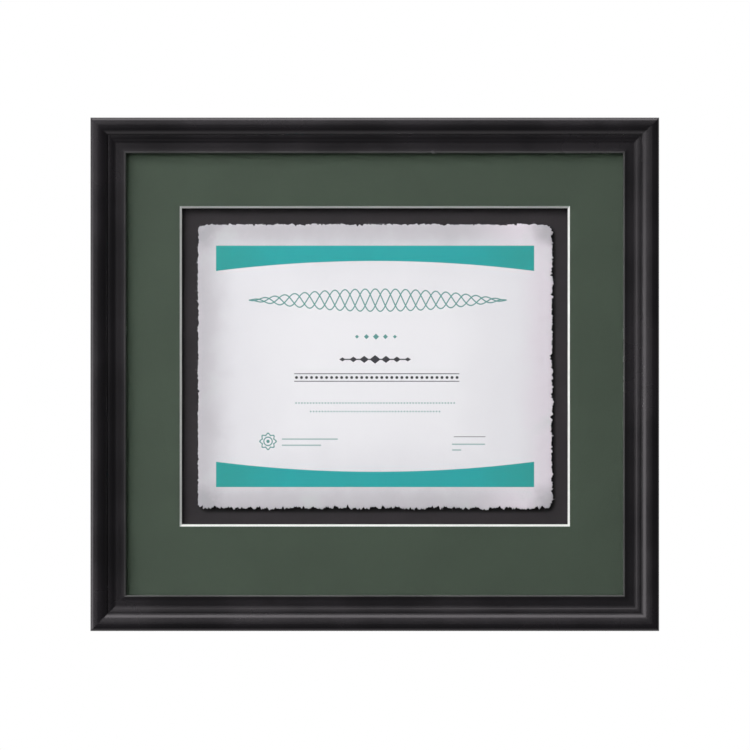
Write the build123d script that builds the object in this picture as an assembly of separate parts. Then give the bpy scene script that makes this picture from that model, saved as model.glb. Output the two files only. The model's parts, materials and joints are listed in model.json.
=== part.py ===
from build123d import *
import math
import os

# A wall-hung certificate frame, in millimetres.
# X runs to the viewer's right, Z up, and Y from the front of the frame towards the wall.
# The origin is the middle of the outline, on the plane of the rails' backs.
# A level is a distance in front of that plane, so a level of 5 lies at Y = -5.

# The certificate and what floats it
certificate_width = 254.0
certificate_height = 203.0
certificate_thickness = 0.4
certificate_corner_radius = 5.0
deckle_depth = 2.2
deckle_step = 3.0
deckle_waves = (17, 37, 71, 113, 149)
deckle_wave_shares = (0.14, 0.16, 0.22, 0.24, 0.24)
deckle_side_share = 0.6
deckle_top_share = 0.85
deckle_bottom_share = 1.15
riser_thickness = 2.0
riser_margin = 12.0
tape_thickness = 0.2
tape_length = 50.0
tape_width = 12.0
tape_margin = 8.0

# The mat: the gaps left round the certificate, the borders that show and the strips behind them
float_side_gap = 13.0
float_end_gap = 13.5
mat_side_border = 38.0
mat_top_border = 37.5
mat_bottom_border = 49.0
bevel_angle = 45.0
spacer_setback = 12.0

# The stack behind the lip, from the front to the back
glazing_thickness = 2.0
mat_paper_thickness = 0.15
mat_core_thickness = 1.5
spacer_thickness = 4.0
mount_board_thickness = 1.4
backing_thickness = 3.0
backing_inset = 0.2

# The moulding's members, from the outer edge to the sight edge: crown, roll, quirk, bead, cove, lip bead
crown_width = 5.2
crown_rise = 6.0
crown_fall = 0.5
arris_width = 2.1
roll_width = 7.4
roll_drop = 4.3
quirk_width = 0.5
bead_width = 2.9
bead_drop = 0.85
cove_width = 5.8
cove_fillet_width = 2.2
cove_drop = 0.65
lip_bead_width = 3.7
lip_round_width = 1.1
lip_bead_rise = 0.35
sight_edge_drop = 0.8
back_chamfer = 0.8

# The rabbet that the stack lies in
rabbet_width = 6.5
lip_thickness = 3.0
board_play = 0.75

# The wedge nails across each mitre
nail_leg = 5.0
nail_thickness = 0.5
nail_depth = 9.0
nail_sink = 0.3
nail_inset_shares = (0.3, 0.72)

# The turn buttons and their screws
button_inset = 9.5
button_reach = 20.0
button_head_radius = 5.5
button_tip_width = 6.4
button_thickness = 1.0
button_tip_rise = 1.6
button_tip_length = 5.0
button_gap = 0.1
button_place_share = 0.28
side_button_place_share = 0.31
pivot_clearance = 0.05
screw_clearance = 0.03
button_screw_radius = 1.5
button_screw_depth = 11.0
button_screw_head_radius = 3.3
button_screw_head_height = 1.9

# The hanger straps, their rings and screws
hanger_inset = 9.5
hanger_place_share = 0.168
strap_thickness = 0.8
strap_width = 10.0
strap_length = 33.0
strap_fold_gap = 0.1
strap_fold_angle = 62.0
strap_hole_shares = (0.485, 0.82)
ring_wire_radius = 1.0
ring_wire_sides = 8
ring_half_width = 7.5
ring_leg = 3.2
ring_corner_radius = 2.0
ring_rest_gap = 0.1
hanger_screw_radius = 1.6
hanger_screw_depth = 12.0
hanger_screw_head_radius = 3.4
hanger_screw_head_height = 2.0

# The flats round every screw, and its cross recess and point as shares of its own head and shank
screw_sides = 12
recess_width_share = 0.26
recess_length_share = 1.1
recess_depth_share = 0.6
head_rim_share = 0.4
head_flat_share = 0.7
point_share = 0.25
tip_share = 0.2

# The wall bumpers
bumper_radius = 6.0
bumper_height = 4.5
bumper_inset = 9.5
bumper_side_inset = 22.0

# Cuts run past the faces that they open by this much
overrun = 1.0

# Levels that follow from the stack
backing_front = backing_inset + backing_thickness
mount_front = backing_front + mount_board_thickness
spacer_front = mount_front + spacer_thickness
core_front = spacer_front + mat_core_thickness
mat_front = core_front + mat_paper_thickness
rabbet_depth = mat_front + glazing_thickness
lip_front = rabbet_depth + lip_thickness
crest_level = lip_front + crown_rise
riser_front = mount_front + riser_thickness
tape_front = riser_front + tape_thickness
certificate_front = tape_front + certificate_thickness

# The outline is worked out from the inside: the certificate, the gaps, the mat's borders and the rails
window_width = certificate_width + 2 * float_side_gap
window_height = certificate_height + 2 * float_end_gap
rail_width = crown_width + roll_width + quirk_width + bead_width + cove_width + lip_bead_width
frame_width = window_width + 2 * (mat_side_border + rail_width)
frame_height = window_height + mat_top_border + mat_bottom_border + 2 * rail_width

# Places that follow from the outline: the boards stand on the bottom rail's rabbet
rabbet_inset = rail_width - rabbet_width
board_width = frame_width - 2 * rabbet_inset - 2 * board_play
board_height = frame_height - 2 * rabbet_inset - 2 * board_play
board_bottom = -frame_height / 2 + rabbet_inset
board_top = board_bottom + board_height
window_top = frame_height / 2 - rail_width - mat_top_border
window_middle = window_top - window_height / 2
window_bottom = window_top - window_height
strap_hole_spots = [share * strap_length for share in strap_hole_shares]


def save(name, shape):
    shape.label = name
    export_step(shape, f"parts/{name}.step")


# A flat piece between two levels, given by its edges
def sheet(left, right, bottom, top, back, front):
    middle = Pos((left + right) / 2, -(back + front) / 2, (bottom + top) / 2)
    return middle * Box(right - left, front - back, top - bottom)


def full_board(back, front):
    return sheet(-board_width / 2, board_width / 2, board_bottom, board_top, back, front)


# A plan drawn on the rails' backs, run from one distance behind them to another
def prism(plan, near, far):
    return extrude(Plane.XZ.offset(-near) * plan, amount=far - near, dir=(0, 1, 0))


def round_hole(radius, near, far):
    return prism(Circle(radius), near, far)


# A small piece along Y with flats round it: each station is a distance behind the rails and a radius
def turned_piece(*stations):
    flats = [Plane.XZ.offset(-behind) * RegularPolygon(radius, screw_sides) for behind, radius in stations]
    return loft(flats, ruled=True)


# The rail's cross-section as it lies on the bottom rail, with its outer edge at Z = 0
def rail_section():
    def spot(inset, level):
        return (-level, inset)

    outwards = (0, -1)
    inwards = (0, 1)
    frontwards = (-1, 0)
    crown_slope = 2 * math.atan2(crown_fall, crown_width - arris_width)
    arris_radius = arris_width / (1 - math.sin(crown_slope))
    crown_edge_level = crest_level - crown_fall
    wall_top = crown_edge_level - arris_radius * math.cos(crown_slope)
    quirk_level = crest_level - roll_drop
    heel_level = quirk_level - bead_drop
    cove_level = heel_level - cove_drop
    lip_level = cove_level + lip_bead_rise
    roll_end_inset = crown_width + roll_width
    bead_start = roll_end_inset + quirk_width
    bead_end = bead_start + bead_width
    cove_end_inset = bead_end + cove_width
    crown_edge = spot(arris_width, crown_edge_level)
    crest = spot(crown_width, crest_level)
    roll_end = spot(roll_end_inset, quirk_level)
    bead_foot = spot(bead_start, quirk_level)
    bead_heel = spot(bead_end, heel_level)
    cove_start = spot(bead_end + cove_fillet_width, cove_level)
    cove_end = spot(cove_end_inset, cove_level)
    lip_top = spot(rail_width - lip_round_width, lip_level)
    sight_top = spot(rail_width, lip_level - sight_edge_drop)
    lip_slope = TangentArc(cove_end, lip_top, tangent=inwards)
    face = [
        Line(spot(back_chamfer, 0), spot(0, back_chamfer)),
        Line(spot(0, back_chamfer), spot(0, wall_top)),
        TangentArc(spot(0, wall_top), crown_edge, tangent=frontwards),
        TangentArc(crest, crown_edge, tangent=outwards),
        TangentArc(crest, roll_end, tangent=inwards),
        Line(roll_end, bead_foot),
        TangentArc(bead_foot, bead_heel, tangent=inwards),
        TangentArc(cove_start, bead_heel, tangent=outwards),
        Line(cove_start, cove_end),
        lip_slope,
        TangentArc(lip_top, sight_top, tangent=lip_slope % 1),
    ]
    rabbet = Polyline(
        sight_top,
        spot(rail_width, rabbet_depth),
        spot(rabbet_inset, rabbet_depth),
        spot(rabbet_inset, 0),
        spot(back_chamfer, 0),
    )
    return make_face(face + [rabbet])


# A bottom rail: the section run along X and cut to the mitres, its outer edge at Z = -reach
def rail(length, reach):
    section = Plane.YZ * Pos(0, -reach) * rail_section()
    bar = extrude(section, amount=length / 2, both=True)
    mitred = Polyline(
        (-length / 2, -reach),
        (length / 2, -reach),
        (length / 2 - rail_width, rail_width - reach),
        (rail_width - length / 2, rail_width - reach),
        close=True,
    )
    outline = Plane.XZ.offset(-overrun) * make_face(mitred)
    return bar & extrude(outline, amount=crest_level + 2 * overrun)


# Wedge nails: two angled strips across each mitre, the same at all four corners
def wedge_nails(sink):
    nails = []
    for share in nail_inset_shares:
        inset = share * rabbet_inset
        corner = (inset - frame_width / 2, inset - frame_height / 2)
        along_x = (corner[0] + nail_leg, corner[1])
        along_z = (corner[0], corner[1] + nail_leg)
        strip = trace([Line(along_x, corner), Line(corner, along_z)], nail_thickness)
        knee = Pos(*corner) * Rectangle(nail_thickness, nail_thickness)
        plane = Plane.XZ.offset(sink)
        nail = extrude(plane * (strip + knee), amount=nail_sink + nail_depth - sink)
        nails.append(nail)
    nails += [mirror(nail, about=Plane.YZ) for nail in nails]
    nails += [mirror(nail, about=Plane.XY) for nail in nails]
    return nails


# A board with the bevelled window cut through it
def windowed(board):
    slope = math.tan(math.radians(bevel_angle))

    def outline(level):
        inset = (mat_front - level) * slope
        opening = Rectangle(window_width - 2 * inset, window_height - 2 * inset)
        return Plane.XZ.offset(level) * Pos(0, window_middle) * opening

    return board - loft([outline(spacer_front - overrun), outline(mat_front + overrun)])


# Four strips behind the mat, their inner edges set back from its window
def spacers():
    inner_left = -window_width / 2 - spacer_setback
    inner_top = window_top + spacer_setback
    inner_bottom = window_bottom - spacer_setback
    edge = board_width / 2
    levels = (mount_front, spacer_front)
    return {
        "spacer_top": sheet(-edge, edge, inner_top, board_top, *levels),
        "spacer_bottom": sheet(-edge, edge, board_bottom, inner_bottom, *levels),
        "spacer_left": sheet(-edge, inner_left, inner_bottom, inner_top, *levels),
        "spacer_right": sheet(-inner_left, edge, inner_bottom, inner_top, *levels),
    }


# The deckle: pointed waves of several lengths added up, so the edge looks torn and closes on itself
def deckle(turn):
    return sum(
        share * (1 - 2 * abs(math.sin(math.pi * waves * (turn + share))))
        for waves, share in zip(deckle_waves, deckle_wave_shares)
    )


def certificate_sheet():
    rounded = RectangleRounded(
        certificate_width - deckle_depth, certificate_height - deckle_depth, certificate_corner_radius
    )
    edge = rounded.wire()
    count = round(edge.length / deckle_step)
    points = []
    for number in range(count):
        turn = number / count
        outward = edge.tangent_at(turn).rotate(Axis.Z, -90)
        if outward.dot(edge.position_at(turn)) < 0:
            outward = -outward
        upright_share = deckle_top_share if outward.Y > 0 else deckle_bottom_share
        depth = deckle_depth * (deckle_side_share * outward.X**2 + upright_share * outward.Y**2)
        points.append(edge.position_at(turn) + outward * depth * deckle(turn))
    outline = Plane.XZ.offset(tape_front) * Pos(0, window_middle) * make_face(Polyline(*points, close=True))
    return extrude(outline, amount=certificate_thickness)


def riser():
    half_width = certificate_width / 2 - riser_margin
    half_height = certificate_height / 2 - riser_margin
    bottom = window_middle - half_height
    top = window_middle + half_height
    return sheet(-half_width, half_width, bottom, top, mount_front, riser_front)


def tapes():
    across = certificate_width / 2 - riser_margin - tape_margin - tape_length / 2
    up = certificate_height / 2 - riser_margin - tape_margin - tape_width / 2
    middle = -(riser_front + tape_front) / 2
    strip = Box(tape_length, tape_thickness, tape_width)
    return [Pos(x, middle, window_middle + z) * strip for x in (-across, across) for z in (-up, up)]


# A pan-head screw along Y, its head's underside at Y = seat
def screw(seat, radius, depth, head_radius, head_height):
    rim = seat + head_rim_share * head_height
    top = seat + head_height
    point = (point_share - 1) * depth
    shank = turned_piece((-depth, tip_share * radius), (point, radius), (seat, radius))
    head = turned_piece((seat, head_radius), (rim, head_radius), (top, head_flat_share * head_radius))
    recess = recess_depth_share * head_height
    wide = recess_width_share * head_radius
    long = recess_length_share * head_radius
    cross = Box(wide, 2 * recess, long) + Box(long, 2 * recess, wide)
    return shank + head - Pos(0, top, 0) * cross


def button_screw():
    seat = 2 * button_gap + button_thickness
    return screw(
        seat, button_screw_radius, button_screw_depth, button_screw_head_radius, button_screw_head_height
    )


def hanger_screw():
    seat = 2 * strap_thickness + strap_fold_gap
    return screw(
        seat, hanger_screw_radius, hanger_screw_depth, hanger_screw_head_radius, hanger_screw_head_height
    )


# The hole drilled in a rail for a screw's shank
def pilot_hole(radius, depth):
    bore = radius + screw_clearance
    return turned_piece((-depth - screw_clearance, bore), (overrun, bore))


# A turn button with its pivot at the origin, pointing up: a stamped plate with a lifted tip
def turn_button():
    low = button_gap
    high = button_gap + button_thickness
    heel = -button_head_radius - overrun
    bend = button_reach - button_tip_length
    lift = button_tip_rise * (1 + overrun / button_tip_length)
    end = button_reach + overrun
    under = [(low, heel), (low, bend), (low + lift, end)]
    over = [(high + lift, end), (high, bend), (high, heel)]
    side = make_face(Polyline(*under, *over, close=True))
    plate = extrude(Plane.YZ * side, amount=button_head_radius + overrun, both=True)
    head = Circle(button_head_radius)
    tip = Pos(0, button_reach - button_tip_length / 2) * Rectangle(button_tip_width, button_tip_length)
    outline = prism(make_hull(head.edges() + tip.edges()), 0, high + lift)
    return (plate & outline) - round_hole(button_screw_radius + pivot_clearance, 0, high + lift)


# Where each button's pivot lies, and how far it is turned to point inwards
def button_places():
    x = button_place_share * frame_width
    z = side_button_place_share * frame_height
    side = frame_width / 2 - button_inset
    end = frame_height / 2 - button_inset
    return {
        "turn_button_top_left": (-x, end, 180),
        "turn_button_top_right": (x, end, 180),
        "turn_button_bottom_left": (-x, -end, 0),
        "turn_button_bottom_right": (x, -end, 0),
        "turn_button_left_upper": (-side, z, 90),
        "turn_button_left_lower": (-side, -z, 90),
        "turn_button_right_upper": (side, z, -90),
        "turn_button_right_lower": (side, -z, -90),
    }


# The ring's bar turns inside the strap's rolled end, whose centre stands this far off the rail
barrel_radius = ring_wire_radius + pivot_clearance + strap_thickness
barrel_level = barrel_radius
hanger_x = frame_width / 2 - hanger_inset
hanger_z = hanger_place_share * frame_height


# A strap folded round the ring's bar, its barrel at the origin and its leaves pointing down
def hanger_strap():
    half = strap_thickness / 2
    roll = barrel_radius - half
    low_leaf = half
    high_leaf = low_leaf + strap_thickness + strap_fold_gap
    turn = math.radians(90 + strap_fold_angle)
    leave = (barrel_level + roll * math.sin(turn), roll * math.cos(turn))
    drop = leave[0] - high_leaf
    slope = math.tan(math.radians(strap_fold_angle))
    meet = (high_leaf, leave[1] - drop / slope)
    under = Line((low_leaf, -strap_length), (low_leaf, 0))
    barrel = ThreePointArc((low_leaf, 0), (barrel_level, roll), (barrel_level + roll, 0))
    shoulder = TangentArc((barrel_level + roll, 0), leave, tangent=(0, -1))
    over = Polyline(leave, meet, (high_leaf, -strap_length))
    band = trace([under, barrel, shoulder] + list(over.edges()), strap_thickness)
    folded = extrude(Plane.YZ * band, amount=strap_width / 2, both=True)
    round_end = strap_width / 2
    back = barrel_level + barrel_radius + overrun
    outline_top = barrel_radius + overrun
    straight = outline_top + strap_length - round_end
    plan = Pos(0, outline_top - straight / 2) * Rectangle(strap_width, straight)
    plan += Pos(0, round_end - strap_length) * Circle(round_end)
    folded &= prism(plan, -overrun, back)
    hole = round_hole(hanger_screw_radius + pivot_clearance, -overrun, back)
    return folded - [Pos(0, 0, -spot) * hole for spot in strap_hole_spots]


# The ring leans on the rail, one rest gap off it: this is how far it tips from upright
ring_top = ring_leg + ring_half_width
ring_lean = math.degrees(math.asin((barrel_level - ring_wire_radius - ring_rest_gap) / ring_top))


# A wire ring, bent to a D with its straight bar in the barrel
def hanger_ring():
    flat = ring_half_width - ring_corner_radius
    bar = Line((-flat, 0), (flat, 0))
    leg_start = (ring_half_width, ring_corner_radius)
    leg_end = (ring_half_width, ring_leg)
    far_start = (-ring_half_width, ring_leg)
    far_end = (-ring_half_width, ring_corner_radius)
    wire = Wire(
        [
            bar,
            TangentArc((flat, 0), leg_start, tangent=(1, 0)),
            Line(leg_start, leg_end),
            ThreePointArc(leg_end, (0, ring_top), far_start),
            Line(far_start, far_end),
            TangentArc(far_end, (-flat, 0), tangent=(0, -1)),
        ]
    )
    half_turn = 180 / ring_wire_sides
    section = Plane.YZ * Rot(0, 0, half_turn) * RegularPolygon(ring_wire_radius, ring_wire_sides)
    ring = sweep(section, path=Plane.XZ * wire)
    return Pos(0, barrel_level, 0) * Rot(ring_lean, 0, 0) * ring


def bumper():
    return prism(Circle(bumper_radius), 0, bumper_height)


os.makedirs("parts", exist_ok=True)

# Screws and what they fasten
hanger_spots = {"left": Pos(-hanger_x, 0, hanger_z), "right": Pos(hanger_x, 0, hanger_z)}
button_spots = {name: Pos(x, 0, z) for name, (x, z, turn) in button_places().items()}
strap_spots = [place * Pos(0, 0, -spot) for place in hanger_spots.values() for spot in strap_hole_spots]
save("turn_button_screws", Compound(children=[spot * button_screw() for spot in button_spots.values()]))
save("hanger_screws", Compound(children=[spot * hanger_screw() for spot in strap_spots]))
for name, (x, z, turn) in button_places().items():
    save(name, Pos(x, 0, z) * Rot(0, turn, 0) * turn_button())
for side, place in hanger_spots.items():
    save(f"hanger_strap_{side}", place * hanger_strap())
    save(f"hanger_ring_{side}", place * hanger_ring())

# Rails, each with the kerfs of its nails and the holes of its screws
long_rail = rail(frame_width, frame_height / 2)
short_rail = rail(frame_height, frame_width / 2)
kerfs = wedge_nails(-overrun)
holes = [spot * pilot_hole(button_screw_radius, button_screw_depth) for spot in button_spots.values()]
holes += [spot * pilot_hole(hanger_screw_radius, hanger_screw_depth) for spot in strap_spots]
rail_turns = {"rail_bottom": 0, "rail_left": 90, "rail_top": 180, "rail_right": 270}
for name, turn in rail_turns.items():
    bar = long_rail if name in ("rail_bottom", "rail_top") else short_rail
    placed = Rot(0, turn, 0) * bar
    room = placed.bounding_box()
    near = [cut for cut in kerfs + holes if room.overlaps(cut.bounding_box())]
    save(name, placed - near)
save("corner_v_nails", Compound(children=wedge_nails(nail_sink)))

# The stack
save("glazing", full_board(mat_front, rabbet_depth))
save("mat_face_paper", windowed(full_board(core_front, mat_front)))
save("mat_core", windowed(full_board(spacer_front, core_front)))
for name, strip in spacers().items():
    save(name, strip)
save("mount_board", full_board(backing_front, mount_front))
save("certificate_riser", riser())
save("mounting_tapes", Compound(children=tapes()))
save("certificate", certificate_sheet())
save("backing_board", full_board(backing_inset, backing_front))

# Bumpers on the bottom rail
bumper_x = frame_width / 2 - bumper_side_inset
bumper_z = bumper_inset - frame_height / 2
save("bumper_left", Pos(-bumper_x, 0, bumper_z) * bumper())
save("bumper_right", Pos(bumper_x, 0, bumper_z) * bumper())
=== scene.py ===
import bpy
import bmesh
import json
import math
import random
from mathutils import Matrix, Vector, noise


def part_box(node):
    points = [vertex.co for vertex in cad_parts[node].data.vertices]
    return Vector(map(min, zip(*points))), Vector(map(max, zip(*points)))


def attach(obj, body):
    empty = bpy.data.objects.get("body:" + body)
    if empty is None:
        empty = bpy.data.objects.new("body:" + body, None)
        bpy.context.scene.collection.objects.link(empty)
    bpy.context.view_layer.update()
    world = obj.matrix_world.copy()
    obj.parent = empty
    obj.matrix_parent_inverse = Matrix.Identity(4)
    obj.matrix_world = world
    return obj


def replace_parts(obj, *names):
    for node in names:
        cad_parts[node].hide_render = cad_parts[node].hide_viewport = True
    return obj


# The looks of the certificate frame, in metres: X to the right, Z up, Y from the front towards the wall
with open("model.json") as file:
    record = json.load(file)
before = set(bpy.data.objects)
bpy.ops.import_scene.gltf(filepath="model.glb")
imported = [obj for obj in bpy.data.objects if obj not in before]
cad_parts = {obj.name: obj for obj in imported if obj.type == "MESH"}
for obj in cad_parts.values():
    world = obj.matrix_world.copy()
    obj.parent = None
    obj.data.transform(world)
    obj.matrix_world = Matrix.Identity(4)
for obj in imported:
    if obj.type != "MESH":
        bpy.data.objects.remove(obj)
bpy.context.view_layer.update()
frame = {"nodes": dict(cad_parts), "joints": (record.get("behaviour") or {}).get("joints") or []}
nodes = frame["nodes"]
pivots = {joint["child"]: Vector(joint["pos_m"]) for joint in frame["joints"]}
millimetre = 0.001
weldDistance = 0.000001  # vertices nearer than this are one
print("frame loaded:", len(nodes), "nodes")


class Wire:  # a node's output, so that shader maths reads as an expression
    def __init__(self, maker, socket):
        self.maker = maker
        self.socket = socket

    def maths(self, operation, *values):
        return self.maker.add("Math", {"operation": operation}, dict(enumerate(values)))

    def __add__(self, other):
        return self.maths("ADD", self, other)

    def __sub__(self, other):
        return self.maths("SUBTRACT", self, other)

    def __rsub__(self, other):
        return self.maths("SUBTRACT", other, self)

    def __mul__(self, other):
        return self.maths("MULTIPLY", self, other)

    def __truediv__(self, other):
        return self.maths("DIVIDE", self, other)

    def __abs__(self):
        return self.maths("ABSOLUTE", self)

    __radd__ = __add__
    __rmul__ = __mul__

    def least(self, other):
        return self.maths("MINIMUM", self, other)

    def most(self, other):
        return self.maths("MAXIMUM", self, other)

    def root(self):
        return self.maths("SQRT", self)

    def sine(self):
        return self.maths("SINE", self)

    def cosine(self):
        return self.maths("COSINE", self)

    def wrapped(self, pitch):  # the place within one repeat, from its middle
        return self.maths("WRAP", self, pitch / 2, -pitch / 2)


class NodeMaker:  # adds nodes to the tree of a material or of the world
    def __init__(self, tree):
        self.tree = tree
        self.tree.nodes.clear()

    def add(self, kind, settings=None, inputs=None, out=0):
        made = self.tree.nodes.new("ShaderNode" + kind)
        for name, value in (settings or {}).items():
            setattr(made, name, value)
        for key, value in (inputs or {}).items():
            if isinstance(value, Wire):
                self.tree.links.new(value.socket, made.inputs[key])
            else:
                made.inputs[key].default_value = value
        return Wire(self, made.outputs[out]) if len(made.outputs) else None

    def axes(self, where):
        return [self.add("SeparateXYZ", inputs={0: where}, out=axis) for axis in range(3)]

    def spread(self, value, low, high):  # stretches a narrow band of values to 0..1
        values = {0: value, 1: low, 2: high, 3: 0.0, 4: 1.0}
        return self.add("MapRange", {"clamp": True, "interpolation_type": "SMOOTHSTEP"}, values)


class Finish(NodeMaker):  # one material and the nodes in it
    def __init__(self, name):
        self.material = bpy.data.materials.new(name)
        self.material.use_nodes = True
        super().__init__(self.material.node_tree)

    def place(self, centre=(0, 0, 0), stretch=(1, 1, 1)):  # object coordinates, centred and stretched
        where = self.add("TexCoord", out="Object")
        offset = tuple(-c * s for c, s in zip(centre, stretch))
        values = {"Vector": where, "Location": offset, "Scale": tuple(stretch)}
        return self.add("Mapping", {"vector_type": "POINT"}, values)

    def cloud(self, where, size, detail=3.0, roughness=0.55, distortion=0.0):  # noise with blobs of that size
        values = {"Vector": where, "Scale": 1 / size, "Detail": detail, "Roughness": roughness,
                  "Distortion": distortion}
        return self.add("TexNoise", inputs=values)

    def mix(self, share, first, second):
        values = {0: share, 6: self.colour(first), 7: self.colour(second)}
        return self.add("Mix", {"data_type": "RGBA"}, values, out=2)

    def colour(self, given):
        return given if isinstance(given, Wire) else (*linear(*given), 1.0)

    def bump(self, height, depth):
        return self.add("Bump", inputs={"Height": height, "Distance": depth, "Strength": 1.0})

    def shader(self, **inputs):
        names = {key.replace("_", " "): value for key, value in inputs.items()}
        return self.add("BsdfPrincipled", {"distribution": "MULTI_GGX"}, names)

    def surface(self, **inputs):
        self.add("OutputMaterial", inputs={"Surface": self.shader(**inputs)})
        return self.material


def linear(red, green, blue):  # a screen colour, 0 to 255, as light
    return tuple(((c / 255 + 0.055) / 1.055) ** 2.4 if c > 10 else c / 3295 for c in (red, green, blue))


# In the finishes' dictionaries, a band is the stretch of values that is spread to 0..1
# Moulding: satin black lacquer on the front and sides, bare wood on the back
lacquer = {"black": (18, 17, 19), "bloom": (24, 22, 25), "bloomSize": 0.06, "bloomBand": (0.4, 0.7),
           "roughness": 0.225, "roughnessSpread": 0.05, "roughnessBand": (0.35, 0.65), "specular": 0.50,
           "tint": (1.0, 0.94, 0.985, 1.0), "peelSize": 0.0014, "peelDepth": 0.000008}
bareWood = {"depth": 0.00025, "pale": (188, 152, 108), "dark": (140, 100, 62), "roughness": 0.75,
            "repeatsAlong": 26.0, "repeatsAcross": 620.0, "grainBand": (0.3, 0.7), "grainDepth": 0.00003,
            "grainThroughLacquer": 0.03, "sprayShare": 0.35, "sprayBand": (0.45, 0.62)}
# Painted highlight: the lacquer's colour is paler in a band along the sight edge, the moulding's inner edge,
# fullest on the top and bottom rails
sightHighlight = {"front": -0.0151, "depth": 0.0015, "width": (0.0003, 0.0017), "colour": (70, 71, 70),
             "share": {"x": 1.0, "z": 0.75}, "patchBand": (0.4, 0.6), "patchShare": 0.25}


def mouldingFinish(name, along):
    finish = Finish(name)
    where = finish.place()
    x, y, z = finish.axes(where)
    stretch = [bareWood["repeatsAlong" if axis == along else "repeatsAcross"] for axis in "xyz"]
    grain = finish.cloud(finish.place(stretch=stretch), 1.0, detail=5.0, roughness=0.6, distortion=0.4)
    bloom = finish.cloud(where, lacquer["bloomSize"], detail=4.0)
    peel = finish.cloud(where, lacquer["peelSize"], detail=1.0)
    bare = finish.spread(y, -bareWood["depth"], -bareWood["depth"] / 2)
    painted = finish.mix(finish.spread(bloom, *lacquer["bloomBand"]), lacquer["black"], lacquer["bloom"])
    wood = finish.mix(finish.spread(grain, *bareWood["grainBand"]), bareWood["pale"], bareWood["dark"])
    spray = finish.spread(bloom, *bareWood["sprayBand"]) * bareWood["sprayShare"]
    wood = finish.mix(spray, wood, lacquer["bloom"])
    edge = abs(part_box("rail_left")[1].x) if along == "z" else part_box("rail_top")[0].z
    # The painted highlight lies on the front of the sight edge and is patchy along it
    across = abs(x if along == "z" else z) - edge
    paintedHighlight = 1 - finish.spread(across, *sightHighlight["width"])
    paintedHighlight = paintedHighlight * (1 - finish.spread(y, sightHighlight["front"], sightHighlight["front"] + sightHighlight["depth"]))
    patches = sightHighlight["patchShare"] * finish.spread(bloom, *sightHighlight["patchBand"])
    paintedHighlight = paintedHighlight * (1 - sightHighlight["patchShare"] + patches) * sightHighlight["share"][along]
    painted = finish.mix(paintedHighlight, painted, sightHighlight["colour"])
    gloss = lacquer["roughness"] + lacquer["roughnessSpread"] * finish.spread(bloom, *lacquer["roughnessBand"])
    roughness = gloss + bare * (bareWood["roughness"] - lacquer["roughness"])
    height = peel * (1 - bare) * lacquer["peelDepth"]
    height = height + grain * bareWood["grainDepth"] * (bareWood["grainThroughLacquer"] + bare)
    relief = finish.bump(height, 1.0)
    return finish.surface(Base_Color=finish.mix(bare, painted, wood), Roughness=roughness, Normal=relief,
                          Specular_IOR_Level=lacquer["specular"], Specular_Tint=lacquer["tint"])


# Mat: green facing paper over a white core
matPaper = {"green": (65, 79, 65), "shade": (60, 73, 60), "toneBand": (0.3, 0.7), "cloudSize": 0.05,
            "fibreSize": 0.0005, "fibreLay": (1.0, 1.0, 2.2), "fibreDepth": 0.00004, "fleck": (86, 100, 82),
            "fleckSize": 0.0011, "fleckBand": (0.62, 0.75), "fleckShare": 0.12, "roughness": 0.82,
            "roughnessSpread": 0.12, "specular": 0.25}


def matPaperFinish():
    finish = Finish("matGreenPaper")
    where = finish.place()
    laid = finish.place(stretch=matPaper["fibreLay"])
    fibres = finish.cloud(laid, matPaper["fibreSize"], detail=4.0, roughness=0.7)
    clouds = finish.cloud(where, matPaper["cloudSize"], detail=3.0)
    flecks = finish.spread(finish.cloud(where, matPaper["fleckSize"], detail=2.0), *matPaper["fleckBand"])
    tones = finish.spread(clouds, *matPaper["toneBand"]) + finish.spread(fibres, *matPaper["toneBand"])
    colour = finish.mix(tones / 2, matPaper["green"], matPaper["shade"])
    colour = finish.mix(flecks * matPaper["fleckShare"], colour, matPaper["fleck"])
    roughness = matPaper["roughness"] + matPaper["roughnessSpread"] * fibres
    relief = finish.bump(fibres, matPaper["fibreDepth"])
    return finish.surface(Base_Color=colour, Roughness=roughness, Normal=relief,
                          Specular_IOR_Level=matPaper["specular"])


# Boards, foam strips and tape: two tones of fibre under slow clouds
boards = {
    "matCore": {"tone": (236, 237, 235), "shade": (228, 229, 226), "fibre": 0.0006, "depth": 0.00005},
    "mountBoard": {"tone": (50, 45, 49), "shade": (43, 39, 42), "fibre": 0.0006, "depth": 0.00005},
    "riserBoard": {"tone": (228, 228, 224), "shade": (218, 217, 212), "fibre": 0.0006, "depth": 0.00005},
    "spacerFoam": {"tone": (34, 34, 34), "shade": (27, 27, 27), "fibre": 0.0009, "depth": 0.0001},
    "linenTape": {"tone": (226, 222, 208), "shade": (214, 209, 194), "fibre": 0.0004, "depth": 0.00005}}
boardTones = {"fibreBand": (0.3, 0.7), "fibreShare": 0.6, "cloudsPerFibre": 60, "cloudBand": (0.35, 0.65),
              "cloudShare": 0.4, "roughness": 0.89, "roughnessDrop": 0.08, "specular": 0.2}


def boardFinish(name, shaded=None):
    given = boards[name]
    finish = Finish(name)
    where = finish.place()
    fibres = finish.cloud(where, given["fibre"], detail=4.0, roughness=0.7)
    clouds = finish.cloud(where, given["fibre"] * boardTones["cloudsPerFibre"], detail=3.0)
    share = finish.spread(fibres, *boardTones["fibreBand"]) * boardTones["fibreShare"]
    share = share + finish.spread(clouds, *boardTones["cloudBand"]) * boardTones["cloudShare"]
    colour = finish.mix(share, given["tone"], given["shade"])
    if shaded:
        colour = shaded(finish, where, colour)
    roughness = boardTones["roughness"] - boardTones["roughnessDrop"] * fibres
    relief = finish.bump(fibres, given["depth"])
    return finish.surface(Base_Color=colour, Roughness=roughness, Normal=relief,
                          Specular_IOR_Level=boardTones["specular"])


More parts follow.
